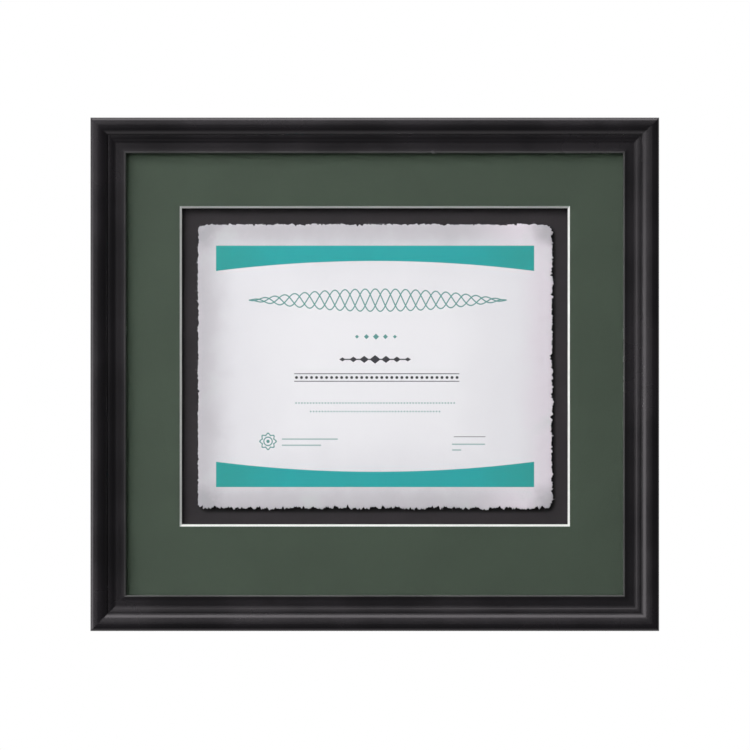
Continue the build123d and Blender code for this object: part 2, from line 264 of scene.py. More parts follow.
# Certificate sheet: each ring of its edge is (inset from the tear, level from back to front)
sheet = {"pitch": 0.00030, "cornerRadius": 0.0055, "pastSolid": 0.0005, "jitter": 0.5, "jitterPitch": 1500,
         "rings": ((0.0004, 0.0), (0.0, 0.3), (0.00045, 0.8), (0.0011, 1.0), (0.004, 1.0))}
lowSheet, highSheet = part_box("certificate")
sheetMiddle = (lowSheet + highSheet) / 2
sheetHalfWidth = (highSheet.x - lowSheet.x) / 2
sheetHalfHeight = (highSheet.z - lowSheet.z) / 2

# The mount board is darkest where the sheet and the window's bevel keep the light off it
contactShade = {"colour": (5, 4, 6), "fall": (0.0012, -0.0018), "sheetFade": 0.0031, "sheetDark": 0.93,
                "bevelFrom": 0.0006, "topFade": 0.0062, "topDark": 0.62, "sideFade": 0.0048, "sideDark": 0.42,
                "windowWithin": 0.9, "backWithin": 0.0002}


def shadeMountBoard(finish, where, colour):
    x, _, z = finish.axes(where)
    # Under the sheet and just past its lower and right edges
    fallX, fallZ = contactShade["fall"]
    radius = sheet["cornerRadius"]
    across = (abs(x - (sheetMiddle.x + fallX)) - (sheetHalfWidth - radius)).most(0.0)
    up = (abs(z - (sheetMiddle.z + fallZ)) - (sheetHalfHeight - radius)).most(0.0)
    away = (across * across + up * up).root() - radius
    hidden = (1 - finish.spread(away, 0.0, contactShade["sheetFade"])) * contactShade["sheetDark"]
    # Along the foot of the bevel, above and on the left
    left, top = windowEdges()
    start = contactShade["bevelFrom"]
    fromTop = (1 - finish.spread(top - z, start, contactShade["topFade"])) * contactShade["topDark"]
    fromLeft = (1 - finish.spread(x - left, start, contactShade["sideFade"])) * contactShade["sideDark"]
    return finish.mix(hidden.most(fromTop).most(fromLeft), colour, contactShade["colour"])


def windowEdges():  # the left and top of the mat's opening, at the back of its core
    low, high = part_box("mat_core")
    middle = (low + high) / 2
    within = (high - low) / 2 * contactShade["windowWithin"]
    inner = [vert.co for vert in nodes["mat_core"].data.vertices
             if abs(vert.co.x - middle.x) < within.x and abs(vert.co.z - middle.z) < within.z
             and vert.co.y > high.y - contactShade["backWithin"]]
    return min(place.x for place in inner), max(place.z for place in inner)


# Glazing: all but clear from the front, with a film that shows at a slant
glazing = {"haze": (16, 18, 18), "smear": (30, 33, 32), "smearSize": 0.08, "smearBand": (0.4, 0.7),
           "facingOpacity": 0.035, "slantOpacity": 0.55, "roughness": 0.04, "smearRoughness": 0.05,
           "specular": 0.5}


def glazingFinish():
    finish = Finish("glazingSheet")
    smears = finish.cloud(finish.place(), glazing["smearSize"], detail=4.0, distortion=0.6)
    haze = finish.mix(finish.spread(smears, *glazing["smearBand"]), glazing["haze"], glazing["smear"])
    slant = finish.add("LayerWeight", inputs={"Blend": 0.5}, out="Facing")
    opacity = glazing["facingOpacity"] + glazing["slantOpacity"] * slant * slant * slant
    return finish.surface(Base_Color=haze, Roughness=glazing["roughness"] + glazing["smearRoughness"] * smears,
                          Alpha=opacity, Specular_IOR_Level=glazing["specular"])


# Backing board: hardboard, with coarse fibres and dark specks
hardboard = {"tone": (132, 92, 60), "shade": (94, 61, 38), "fibreSize": 0.0009, "fibreLay": (1.0, 1.0, 1.6),
             "fibreBand": (0.32, 0.68), "fibreDepth": 0.00008, "cloud": (120, 88, 60), "cloudSize": 0.045,
             "cloudBand": (0.38, 0.64), "cloudShare": 0.6, "speck": (70, 45, 28), "speckSize": 0.0016,
             "speckBand": (0.62, 0.72), "speckShare": 0.5, "roughness": 0.55, "roughnessSpread": 0.25,
             "specular": 0.35}


def hardboardFinish():
    finish = Finish("hardboardBack")
    where = finish.place()
    laid = finish.place(stretch=hardboard["fibreLay"])
    fibres = finish.cloud(laid, hardboard["fibreSize"], detail=5.0, roughness=0.72, distortion=0.8)
    clouds = finish.spread(finish.cloud(where, hardboard["cloudSize"], detail=4.0), *hardboard["cloudBand"])
    specks = finish.spread(finish.cloud(where, hardboard["speckSize"], detail=2.0), *hardboard["speckBand"])
    colour = finish.mix(finish.spread(fibres, *hardboard["fibreBand"]), hardboard["tone"], hardboard["shade"])
    colour = finish.mix(clouds * hardboard["cloudShare"], colour, hardboard["cloud"])
    colour = finish.mix(specks * hardboard["speckShare"], colour, hardboard["speck"])
    roughness = hardboard["roughness"] + hardboard["roughnessSpread"] * fibres
    relief = finish.bump(fibres, hardboard["fibreDepth"])
    return finish.surface(Base_Color=colour, Roughness=roughness, Normal=relief,
                          Specular_IOR_Level=hardboard["specular"])


# Metal: nickel on what holds and hangs the frame, and bare steel on the nails in its corners
metals = {"nickelPlate": {"tone": (205, 202, 194), "shade": (182, 178, 168), "roughness": 0.26},
          "nailSteel": {"tone": (150, 151, 154), "shade": (112, 110, 108), "roughness": 0.38}}
metalWear = {"lineSize": 0.0003, "lineRoughness": 0.06, "lineDepth": 0.000008, "stainSize": 0.004,
             "stainBand": (0.35, 0.7), "dullBand": (0.4, 0.7), "dullRoughness": 0.10}


def metalFinish(name):
    given = metals[name]
    finish = Finish(name)
    where = finish.place()
    lines = finish.cloud(where, metalWear["lineSize"], detail=3.0, roughness=0.6)
    stains = finish.cloud(where, metalWear["stainSize"], detail=4.0, distortion=0.4)
    colour = finish.mix(finish.spread(stains, *metalWear["stainBand"]), given["tone"], given["shade"])
    roughness = given["roughness"] + metalWear["dullRoughness"] * finish.spread(stains, *metalWear["dullBand"])
    roughness = roughness + metalWear["lineRoughness"] * lines
    relief = finish.bump(lines, metalWear["lineDepth"])
    return finish.surface(Base_Color=colour, Roughness=roughness, Normal=relief, Metallic=1.0)


# Bumpers: black rubber, dusty in places
rubber = {"black": (26, 26, 27), "pitSize": 0.0004, "pitDepth": 0.00003, "dust": (52, 51, 50),
          "dustSize": 0.003, "dustBand": (0.45, 0.75), "dustShare": 0.4, "roughness": 0.62,
          "dustRoughness": 0.2, "specular": 0.35}


def rubberFinish():
    finish = Finish("bumperRubber")
    where = finish.place()
    pits = finish.cloud(where, rubber["pitSize"], detail=3.0, roughness=0.7)
    dust = finish.spread(finish.cloud(where, rubber["dustSize"], detail=4.0), *rubber["dustBand"])
    colour = finish.mix(dust * rubber["dustShare"], rubber["black"], rubber["dust"])
    relief = finish.bump(pits, rubber["pitDepth"])
    return finish.surface(Base_Color=colour, Roughness=rubber["roughness"] + rubber["dustRoughness"] * dust,
                          Normal=relief, Specular_IOR_Level=rubber["specular"])


# The sheet's paper: palest in the middle, greyer at the edges and darkest in the corners
paper = {"middle": (246, 245, 249), "quarter": (236, 235, 240), "middleBand": (0.02, 0.085),
         "heightShare": 1.3, "edge": (199, 196, 202), "rightEdge": (228, 220, 229), "rightBand": (0.06, 0.11),
         "edgeDepth": 0.030, "corner": (172, 170, 176), "cornerBand": (0.2, 0.95), "cornerShare": 0.8,
         "wanderSize": 0.03, "drift": 0.02, "mottleSize": 0.009, "stainShare": 0.45, "warm": (214, 206, 214),
         "warmBand": (0.52, 0.72), "cool": (204, 212, 210), "coolBand": (0.52, 0.7), "grain": (205, 203, 208),
         "grainSize": 0.0007, "grainBand": (0.35, 0.75), "grainShare": 0.10, "depth": 0.00006,
         "mottleDepthShare": 0.6, "roughness": 0.78, "roughnessSpread": 0.12, "specular": 0.25}
# Teal bands across the sheet, straight outside and arched inside
bands = {"teal": (38, 169, 170), "endTeal": (42, 160, 155), "endBand": (0.5, 1.0), "mottled": (28, 175, 177),
         "mottleBand": (0.4, 0.75), "mottleShare": 0.25, "halfLength": 0.1141, "outer": 0.0866,
         "middleDepth": 0.0110, "endDepth": 0.0182}


def certificateFinish():
    finish = Finish("certificatePaper")
    where = finish.place(centre=sheetMiddle)
    x, _, z = finish.axes(where)
    fromSide = sheetHalfWidth - abs(x)
    fromEnd = sheetHalfHeight - abs(z)
    wander = finish.cloud(where, paper["wanderSize"], detail=4.0, roughness=0.6)
    mottle = finish.cloud(where, paper["mottleSize"], detail=5.0, roughness=0.65)
    grain = finish.cloud(where, paper["grainSize"], detail=4.0, roughness=0.7)
    drift = (wander - 0.5) * paper["drift"]
    sideFade = finish.spread(fromSide + drift, 0.0, paper["edgeDepth"])
    endFade = finish.spread(fromEnd + drift, 0.0, paper["edgeDepth"])
    nearest = (fromSide + drift * 2).least((fromEnd + drift * 2) * paper["heightShare"])
    colour = finish.mix(finish.spread(nearest, *paper["middleBand"]), paper["quarter"], paper["middle"])
    # Painted light, in part: the right edge is paler, to make up for the key lamp's light falling off towards
    # the right
    edgeTone = finish.mix(finish.spread(x, *paper["rightBand"]), paper["edge"], paper["rightEdge"])
    nearEdge = 1 - sideFade * endFade
    colour = finish.mix(nearEdge, colour, edgeTone)
    nearCorner = finish.spread((1 - sideFade) * (1 - endFade), *paper["cornerBand"])
    colour = finish.mix(nearCorner * paper["cornerShare"], colour, paper["corner"])
    stained = nearEdge * paper["stainShare"]
    colour = finish.mix(finish.spread(mottle, *paper["warmBand"]) * stained, colour, paper["warm"])
    colour = finish.mix(finish.spread(wander, *paper["coolBand"]) * stained, colour, paper["cool"])
    speckled = finish.spread(grain, *paper["grainBand"]) * paper["grainShare"]
    colour = finish.mix(speckled, colour, paper["grain"])
    for mark, ink in [tealBand(finish, x, z, mottle)] + printedMarks(finish, x, z):
        colour = finish.mix(mark, colour, ink)
    relief = finish.bump(grain + mottle * paper["mottleDepthShare"], paper["depth"])
    roughness = paper["roughness"] + paper["roughnessSpread"] * grain
    return finish.surface(Base_Color=colour, Roughness=roughness, Normal=relief,
                          Specular_IOR_Level=paper["specular"])


def tealBand(finish, x, z, mottle):  # where the bands are, and their colour
    reach = abs(x) / bands["halfLength"]
    depth = bands["middleDepth"] + (bands["endDepth"] - bands["middleDepth"]) * reach * reach
    outside = abs(abs(z) - (bands["outer"] - depth / 2)) - depth / 2
    tone = finish.mix(finish.spread(reach, *bands["endBand"]), bands["teal"], bands["endTeal"])
    spots = finish.spread(mottle, *bands["mottleBand"]) * bands["mottleShare"]
    tone = finish.mix(spots, tone, bands["mottled"])
    return inked(finish, outside.most(abs(x) - bands["halfLength"])), tone


# Print on the certificate: places and half sizes, measured from the sheet's middle
prints = {
    "teal": (52, 140, 134), "dark": (58, 58, 64), "pale": (138, 176, 174), "tealShare": 0.92,
    "paleShare": 0.85, "soft": 0.00022,
    "flourish": {"half": 0.0925, "height": 0.0475, "middle": 0.0019, "swell": 0.0080, "waves": 8.5,
                 "stroke": 0.00042, "strands": 3},
    "lozenges": {"middle": (0.0006, 0.0213), "pitch": 0.0068, "half": (0.0022, 0.0022), "shrink": 0.0004,
                 "eachSide": 2},
    "chain": {"middle": (0.0, 0.0050), "pitch": 0.0078, "half": (0.0040, 0.0031), "shrink": 0.00055,
              "eachSide": 3, "line": (0.0245, 0.00045)},
    "beading": {"middle": (0.0012, -0.0080), "half": 0.0592, "pitch": 0.0036, "radius": 0.00105,
                "rule": 0.00028, "spread": 0.0027},
    "darkRule": {"middle": (0.0678, -0.0505), "half": (0.0113, 0.00022)},
    "dottedRows": {"rows": (((0.0, -0.0263), 0.058), ((0.0, -0.0324), 0.047)), "pitch": 0.0021,
                   "radius": 0.00062},
    "shortRules": {"rows": (((-0.0468, -0.0522), 0.0200), ((-0.0528, -0.0566), 0.0140),
                            ((0.067, -0.0559), 0.0118), ((0.0585, -0.0600), 0.0032)), "halfHeight": 0.00045},
    "rosette": {"middle": (-0.0768, -0.0538), "size": 0.0060, "petals": 8, "petalReach": 0.86,
                "petalDepth": 0.11, "stroke": 0.0005, "ring": 0.5, "ringStroke": 0.8, "dot": 0.2}}


def inked(finish, distance):  # 1 inside an outline, 0 outside it
    return 1 - finish.spread(distance, -prints["soft"], prints["soft"])


# Each mark is a distance outside its outline, which is negative inside
def ruleMark(x, z, centre, half):
    return (abs(x - centre[0]) - half[0]).most(abs(z - centre[1]) - half[1])


def dotMark(x, z, centre, half, pitch, radius):  # a row of dots
    across = (x - centre[0]).wrapped(pitch)
    up = z - centre[1]
    return ((across * across + up * up).root() - radius).most(abs(x - centre[0]) - half)


def lozengeRow(x, z, given):  # lozenges that shrink to both sides
    row = []
    for step in range(-given["eachSide"], given["eachSide"] + 1):
        half = [extent - given["shrink"] * abs(step) for extent in given["half"]]
        centre = given["middle"][0] + step * given["pitch"]
        row.append(abs(x - centre) * (half[1] / half[0]) + abs(z - given["middle"][1]) - half[1])
    return row


def flourish(x, z, given):  # woven waves that die out towards their ends
    along = (x - given["middle"]) / given["half"]
    swell = (1 - along * along).most(0.0) * given["swell"]
    turns = math.pi * given["waves"]
    strands = []
    for strand in range(given["strands"]):
        phase = along * turns + strand * math.tau / given["strands"]
        slope = phase.cosine() * swell * (turns / given["half"])
        steep = (slope * slope + 1).root()
        strands.append(abs(z - given["height"] - phase.sine() * swell) / steep - given["stroke"])
    return joined(strands).most(abs(x - given["middle"]) - given["half"])


def rosette(x, z, given):  # a scalloped ring, a plain ring and a dot
    across = x - given["middle"][0]
    up = z - given["middle"][1]
    away = (across * across + up * up).root()
    turn = up.maths("ARCTAN2", up, across)
    scallop = ((turn * given["petals"]).cosine() * given["petalDepth"] + given["petalReach"]) * given["size"]
    return joined([abs(away - scallop) - given["stroke"],
                   abs(away - given["size"] * given["ring"]) - given["stroke"] * given["ringStroke"],
                   away - given["size"] * given["dot"]])


def joined(marks):
    whole = marks[0]
    for mark in marks[1:]:
        whole = whole.least(mark)
    return whole


def printedMarks(finish, x, z):
    chain, beading, lower = prints["chain"], prints["beading"], prints["darkRule"]
    dark = [ruleMark(x, z, chain["middle"], chain["line"])] + lozengeRow(x, z, chain)
    dark.append(dotMark(x, z, beading["middle"], beading["half"], beading["pitch"], beading["radius"]))
    for side in (-1, 1):
        centre = (beading["middle"][0], beading["middle"][1] + side * beading["spread"])
        dark.append(ruleMark(x, z, centre, (beading["half"], beading["rule"])))
    dark.append(ruleMark(x, z, lower["middle"], lower["half"]))
    dotted, short = prints["dottedRows"], prints["shortRules"]
    pale = [dotMark(x, z, middle, half, dotted["pitch"], dotted["radius"]) for middle, half in dotted["rows"]]
    pale += [ruleMark(x, z, middle, (half, short["halfHeight"])) for middle, half in short["rows"]]
    tealShare = prints["tealShare"]
    return [(inked(finish, flourish(x, z, prints["flourish"])) * tealShare, prints["teal"]),
            (inked(finish, joined(lozengeRow(x, z, prints["lozenges"]))) * tealShare, prints["teal"]),
            (inked(finish, joined(dark)), prints["dark"]),
            (inked(finish, joined(pale)) * prints["paleShare"], prints["pale"]),
            (inked(finish, rosette(x, z, prints["rosette"])) * tealShare, prints["teal"])]


nickel = metalFinish("nickelPlate")
finishes = {
    "rail_top": mouldingFinish("mouldingAcross", "x"), "rail_left": mouldingFinish("mouldingUpright", "z"),
    "glazing": glazingFinish(), "mat_face_paper": matPaperFinish(), "mat_core": boardFinish("matCore"),
    "mount_board": boardFinish("mountBoard", shadeMountBoard), "certificate_riser": boardFinish("riserBoard"),
    "spacer_top": boardFinish("spacerFoam"), "mounting_tapes": boardFinish("linenTape"),
    "backing_board": hardboardFinish(), "corner_v_nails": metalFinish("nailSteel"),
    "bumper_left": rubberFinish()}
alike = {"rail_bottom": "rail_top", "rail_right": "rail_left", "spacer_bottom": "spacer_top",
         "spacer_left": "spacer_top", "spacer_right": "spacer_top", "bumper_right": "bumper_left"}
for name, node in nodes.items():  # what has no finish of its own is nickel hardware
    node.data.materials.clear()
    node.data.materials.append(finishes.get(alike.get(name, name), nickel))
print("finishes:", len(bpy.data.materials))


def newPiece(name, shape, finish, body, sharpAngle=35):
    mesh = bpy.data.meshes.new(name)
    bmesh.ops.recalc_face_normals(shape, faces=shape.faces)
    shape.to_mesh(mesh)
    shape.free()
    mesh.materials.append(finish)
    mesh.shade_smooth()
    mesh.set_sharp_from_angle(angle=math.radians(sharpAngle))
    piece = bpy.data.objects.new(name, mesh)
    bpy.context.scene.collection.objects.link(piece)
    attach(piece, body)
    return piece


# Certificate sheet: a rounded rectangle whose edge is torn, thinner towards the tear. The outline gives the
# place at a share of the way round, clockwise from the top left corner, and the direction outwards there
def sheetOutline(turn, halfWidth, halfHeight):
    radius = sheet["cornerRadius"]
    straightX = halfWidth - radius
    straightZ = halfHeight - radius
    quarter = math.pi / 2 * radius
    run = turn * 4 * (straightX + straightZ + quarter)
    for side, straight in enumerate((straightX, straightZ, straightX, straightZ)):
        angle = side * math.pi / 2
        out = Vector((math.sin(angle), 0, math.cos(angle)))
        ahead = Vector((math.cos(angle), 0, -math.sin(angle)))
        reach = halfHeight if side % 2 == 0 else halfWidth
        if run <= 2 * straight:
            return out * reach + ahead * (run - straight), out
        run -= 2 * straight
        if run <= quarter:
            swing = run / radius
            centre = out * (reach - radius) + ahead * straight
            outward = out * math.cos(swing) + ahead * math.sin(swing)
            return centre + outward * radius, outward
        run -= quarter
    return sheetOutline(0, halfWidth, halfHeight)


# How far the edge wanders, in metres: slow waves, teeth and fibres, and then nicks, in repeats per metre
torn = {"top": (0.0006, 0.0007, 0.0009), "bottom": (0.0009, 0.0011, 0.0017), "left": (0.0005, 0.0004, 0.0006),
        "right": (0.0006, 0.0008, 0.0013), "pitch": (62, 330, 900), "layerStep": 3.3,
        "nick": {"top": 0.0030, "bottom": 0.0036, "left": 0.0014, "right": 0.0026}, "nickPitch": 430,
        "nickShare": 0.20, "nickLayer": 9.1}


def tear(point, outward):
    end = "top" if outward.z > 0 else "bottom"
    side = "right" if outward.x > 0 else "left"
    waves = []
    for index, pitch in enumerate(torn["pitch"]):
        reach = torn[side][index] * outward.x**2 + torn[end][index] * outward.z**2
        waves.append(reach * noise.noise(point * pitch + Vector((0, torn["layerStep"] * index, 0))))
    nick = noise.noise(point * torn["nickPitch"] + Vector((0, torn["nickLayer"], 0))) - torn["nickShare"]
    return sum(waves) - max(0, nick) * (torn["nick"][side] * outward.x**2 + torn["nick"][end] * outward.z**2)


# Paper fibres that stand out of the torn edge, most of them near its top left corner
strayFibres = {"count": 110, "length": (0.0006, 0.0019), "radius": 0.00007, "tipShare": 0.4, "outShare": 0.3,
               "lean": 1.2, "cornerShare": 0.55, "cornerTurn": 0.155, "seed": 5}


def addFibres(shape, halfWidth, halfHeight):
    draw = random.Random(strayFibres["seed"])
    for _ in range(strayFibres["count"]):
        if draw.random() < strayFibres["cornerShare"]:
            turn = draw.uniform(-strayFibres["cornerTurn"], strayFibres["cornerTurn"])
        else:
            turn = draw.random()
        point, outward = sheetOutline(turn % 1.0, halfWidth, halfHeight)
        length = draw.uniform(*strayFibres["length"])
        tip = strayFibres["radius"] * strayFibres["tipShare"]
        made = bmesh.ops.create_cone(shape, cap_ends=True, segments=4, radius1=strayFibres["radius"],
                                     radius2=tip, depth=length)["verts"]
        bmesh.ops.translate(shape, verts=made, vec=(0, 0, length * strayFibres["outShare"]))
        lean = math.atan2(outward.x, outward.z) + draw.uniform(-strayFibres["lean"], strayFibres["lean"])
        bmesh.ops.rotate(shape, verts=made, cent=(0, 0, 0), matrix=Matrix.Rotation(lean, 3, "Y"))
        bmesh.ops.translate(shape, verts=made, vec=sheetMiddle + point + outward * tear(point, outward))


def certificateSheet():
    halfWidth = sheetHalfWidth + sheet["pastSolid"]
    halfHeight = sheetHalfHeight + sheet["pastSolid"]
    shape = bmesh.new()
    count = int(4 * (halfWidth + halfHeight) / sheet["pitch"])
    ring = bmesh.ops.create_circle(shape, segments=count, radius=1.0)["verts"]
    edges = list({edge for vert in ring for edge in vert.link_edges})
    back = edges
    for _ in sheet["rings"][1:]:  # each ring is half as wide as the last until it takes its place
        grown = bmesh.ops.extrude_edge_only(shape, edges=edges)["geom"]
        verts = [part for part in grown if isinstance(part, bmesh.types.BMVert)]
        edges = [part for part in grown if isinstance(part, bmesh.types.BMEdge)]
        bmesh.ops.scale(shape, verts=verts, vec=(0.5, 0.5, 0.5))
    bmesh.ops.contextual_create(shape, geom=back)
    bmesh.ops.contextual_create(shape, geom=edges)
    thickness = highSheet.y - lowSheet.y
    innermost = len(sheet["rings"]) - 1
    for vert in shape.verts:
        step = round(-math.log2(vert.co.length))
        turn = math.atan2(vert.co.y, vert.co.x) / math.tau % 1.0
        inset, level = sheet["rings"][step]
        point, outward = sheetOutline(turn, halfWidth, halfHeight)
        ragged = tear(point, outward) if step < innermost else 0
        if 0 < step < innermost:
            inset *= 1 + sheet["jitter"] * noise.noise(point * sheet["jitterPitch"])
        vert.co = sheetMiddle + point + outward * (ragged - inset)
        vert.co.y = highSheet.y - level * thickness
    addFibres(shape, halfWidth, halfHeight)
    return newPiece("certificateSheet", shape, certificateFinish(), "frame")


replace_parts(certificateSheet(), "certificate")
print("certificate sheet made")


# Hardware on the back: turned pieces, bent wire and plates with eased edges
def turned(stations, steps):  # radius and place along Y, in millimetres
    shape = bmesh.new()
    verts = [shape.verts.new((radius * millimetre, level * millimetre, 0)) for radius, level in stations]
    edges = [shape.edges.new(pair) for pair in zip(verts, verts[1:])]
    bmesh.ops.spin(shape, geom=verts + edges, cent=(0, 0, 0), axis=(0, 1, 0), angle=math.tau, steps=steps,
                   use_merge=True)
    bmesh.ops.remove_doubles(shape, verts=shape.verts, dist=weldDistance)
    bmesh.ops.recalc_face_normals(shape, faces=shape.faces)
    return shape


def cut(shape, cutter):  # takes the cutter out of the shape
    pieces = []
    for part in (shape, cutter):
        mesh = bpy.data.meshes.new("blank")
        part.to_mesh(mesh)
        part.free()
        pieces.append(bpy.data.objects.new("blank", mesh))
        bpy.context.scene.collection.objects.link(pieces[-1])
    modifier = pieces[0].modifiers.new("recess", "BOOLEAN")
    modifier.operation = "DIFFERENCE"
    modifier.solver = "EXACT"
    modifier.use_self = True  # the cross is two blocks in each other
    modifier.object = pieces[1]
    bpy.context.view_layer.update()
    done = bpy.data.meshes.new_from_object(pieces[0].evaluated_get(bpy.context.evaluated_depsgraph_get()))
    for piece in pieces:
        mesh = piece.data
        bpy.data.objects.remove(piece)
        bpy.data.meshes.remove(mesh)
    return done


# Screws, in millimetres, with a domed head and a cross recess; seat is the face that the head sits on
screws = {
    "turnButtonScrews": {"node": "turn_button_screws", "seat": 1.2, "shank": 1.5, "depth": 11.0, "head": 3.3,
                         "height": 1.9},
    "hangerScrews": {"node": "hanger_screws", "seat": 1.7, "shank": 1.6, "depth": 12.0, "head": 3.4,
                     "height": 2.0},
    "point": ((0.0, 1.0), (0.25, 0.98), (0.9, 0.76), (1.0, 0.7)),  # shares of the shank's radius and depth
    "underHead": 0.95, "lip": 0.12, "sideSteps": 6, "sideHeight": 0.22, "shoulderHeight": 0.78,
    "crownRadius": 0.62, "crownSteps": 4, "recessWidth": 0.26, "recessLength": 1.1, "recessDepth": 0.6,
    "recessTaper": 0.55, "steps": 40, "mostTurn": 1.57, "seed": 11}


def crossCutter(width, length, depth, top):
    shape = bmesh.new()
    taper = screws["recessTaper"]
    for across, along in ((width, length), (length, width)):
        made = bmesh.ops.create_cube(shape, size=1.0)["verts"]
        bmesh.ops.scale(shape, verts=made, vec=(across, depth * 2, along))
        low = [vert for vert in made if vert.co.y < 0]
        bmesh.ops.scale(shape, verts=low, vec=(taper, 1.0, taper))
    bmesh.ops.translate(shape, verts=shape.verts, vec=(0, top, 0))
    bmesh.ops.scale(shape, verts=shape.verts, vec=(millimetre, millimetre, millimetre))
    return shape


def screwMesh(given):
    seat, head, height, shank, depth = (given[key] for key in ("seat", "head", "height", "shank", "depth"))
    crown, side, shoulder = screws["crownRadius"], screws["sideHeight"], screws["shoulderHeight"]
    stations = [(shank * radius, -depth * level) for radius, level in screws["point"]]
    stations += [(shank, seat), (head * screws["underHead"], seat), (head, seat + screws["lip"])]
    for step in range(screws["sideSteps"] + 1):
        angle = math.pi / 2 * step / screws["sideSteps"]
        stations.append((head * (crown + (1 - crown) * math.cos(angle)),
                         seat + height * (side + (shoulder - side) * math.sin(angle))))
    for step in range(1, screws["crownSteps"] + 1):
        left = 1 - step / screws["crownSteps"]
        stations.append((head * crown * left, seat + height * (shoulder + (1 - shoulder) * (1 - left**2))))
    cutter = crossCutter(head * screws["recessWidth"], head * screws["recessLength"],
                         height * screws["recessDepth"], seat + height)
    return cut(turned(stations, screws["steps"]), cutter)


def screwPlaces(node):  # the middle of each screw of a node, from its loose parts
    shape = bmesh.new()
    shape.from_mesh(nodes[node].data)
    bmesh.ops.remove_doubles(shape, verts=shape.verts, dist=weldDistance)
    waiting = set(shape.verts)
    places = []
    while waiting:
        group = {waiting.pop()}
        front = set(group)
        while front:
            front = {edge.other_vert(vert) for vert in front for edge in vert.link_edges} - group
            group |= front
        waiting -= group
        middle = []
        for axis in (0, 2):
            levels = [vert.co[axis] for vert in group]
            middle.append(round((min(levels) + max(levels)) / 2, 6))
        places.append(tuple(middle))
    shape.free()
    return sorted(places)


chance = random.Random(screws["seed"])
for name in ("turnButtonScrews", "hangerScrews"):
    node = screws[name]["node"]
    single = screwMesh(screws[name])
    shape = bmesh.new()
    for x, z in screwPlaces(node):
        known = set(shape.verts)
        shape.from_mesh(single)
        fresh = [vert for vert in shape.verts if vert not in known]
        turning = Matrix.Rotation(chance.uniform(0, screws["mostTurn"]), 3, "Y")
        bmesh.ops.rotate(shape, verts=fresh, cent=(0, 0, 0), matrix=turning)
        bmesh.ops.translate(shape, verts=fresh, vec=(x, 0, z))
    bpy.data.meshes.remove(single)
    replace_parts(newPiece(name, shape, nickel, "frame"), node)
print("screws made")

# Hanger rings: round wire bent to a D, in millimetres and degrees, that leans back on its strap
ringWire = {"radius": 1.0, "halfWidth": 7.5, "corner": 2.0, "leg": 3.2, "lean": 4.02, "sides": 20,
            "bendStep": 5, "weld": 0.01}


def bentRing():
    corner, halfWidth = ringWire["corner"], ringWire["halfWidth"]
    flat = halfWidth - corner
    leg = ringWire["leg"] - corner
    shape = bmesh.new()
    start = Matrix.Translation((-flat, 0, 0)) @ Matrix.Rotation(math.pi / 2, 4, "Y")
    bmesh.ops.create_circle(shape, segments=ringWire["sides"], radius=ringWire["radius"], matrix=start)
    last = list(shape.verts) + list(shape.edges)
    place = Vector((-flat, 0, 0))
    heading = Vector((1, 0, 0))
    # Each move is a straight run, or a bend's radius and angle
    moves = ((2 * flat, 0, 0), (0, corner, 90), (leg, 0, 0), (0, halfWidth, 180), (leg, 0, 0), (0, corner, 90))
    for run, radius, degrees in moves:
        if run:
            edges = [part for part in last if isinstance(part, bmesh.types.BMEdge)]
            grown = bmesh.ops.extrude_edge_only(shape, edges=edges)["geom"]
            last = [part for part in grown if not isinstance(part, bmesh.types.BMFace)]
            moved = [part for part in last if isinstance(part, bmesh.types.BMVert)]
            bmesh.ops.translate(shape, verts=moved, vec=heading * run)
            place = place + heading * run
        else:
            turning = Matrix.Rotation(math.radians(degrees), 3, (0, -1, 0))
            centre = place + Matrix.Rotation(math.pi / 2, 3, (0, -1, 0)) @ heading * radius
            last = bmesh.ops.spin(shape, geom=last, cent=centre, axis=(0, -1, 0), angle=math.radians(degrees),
                                  steps=degrees // ringWire["bendStep"])["geom_last"]
            place = centre + turning @ (place - centre)
            heading = turning @ heading
    bmesh.ops.remove_doubles(shape, verts=shape.verts, dist=ringWire["weld"])
    leaning = Matrix.Rotation(math.radians(ringWire["lean"]), 3, "X")
    bmesh.ops.rotate(shape, verts=shape.verts, cent=(0, 0, 0), matrix=leaning)
    bmesh.ops.scale(shape, verts=shape.verts, vec=(millimetre, millimetre, millimetre))
    return shape


for side in ("left", "right"):
    node = "hanger_ring_" + side
    ring = bentRing()
    bmesh.ops.translate(ring, verts=ring.verts, vec=pivots[node])
    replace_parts(newPiece("ring" + side.title(), ring, nickel, node), node)

# Bumpers: radius and height of the turned outline, in millimetres
bumperShape = {"stations": ((0, 0), (5.6, 0), (5.9, 0.15), (6.0, 0.6), (5.95, 1.6), (5.75, 2.7), (5.35, 3.5),
                            (4.75, 4.1), (4.0, 4.42), (3.1, 4.5), (1.6, 4.42), (0, 4.38)), "steps": 48}
for side in ("left", "right"):
    node = "bumper_" + side
    low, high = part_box(node)
    bumper = turned(bumperShape["stations"], bumperShape["steps"])
    bmesh.ops.translate(bumper, verts=bumper.verts, vec=((low.x + high.x) / 2, low.y, (low.z + high.z) / 2))
    piece = newPiece("bumper" + side.title(), bumper, finishes["bumper_left"], "frame")
    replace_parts(piece, node)

# Turn buttons and hanger straps: plates with their edges rounded over, angles in degrees
plates = {"buttonEdge": 0.00022, "strapEdge": 0.00015, "segments": 3, "bevelFrom": 50, "sharpFrom": 60,
          "flatWithin": 1}


def easedPlate(name, node, body, width):
    shape = bmesh.new()
    shape.from_mesh(nodes[node].data)
    bmesh.ops.remove_doubles(shape, verts=shape.verts, dist=weldDistance)
    bmesh.ops.dissolve_limit(shape, angle_limit=math.radians(plates["flatWithin"]), verts=shape.verts,
                             edges=shape.edges)
    piece = newPiece(name, shape, nickel, body, plates["sharpFrom"])
    rounding = piece.modifiers.new("edges", "BEVEL")
    rounding.width = width
    rounding.segments = plates["segments"]
    rounding.angle_limit = math.radians(plates["bevelFrom"])
    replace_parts(piece, node)


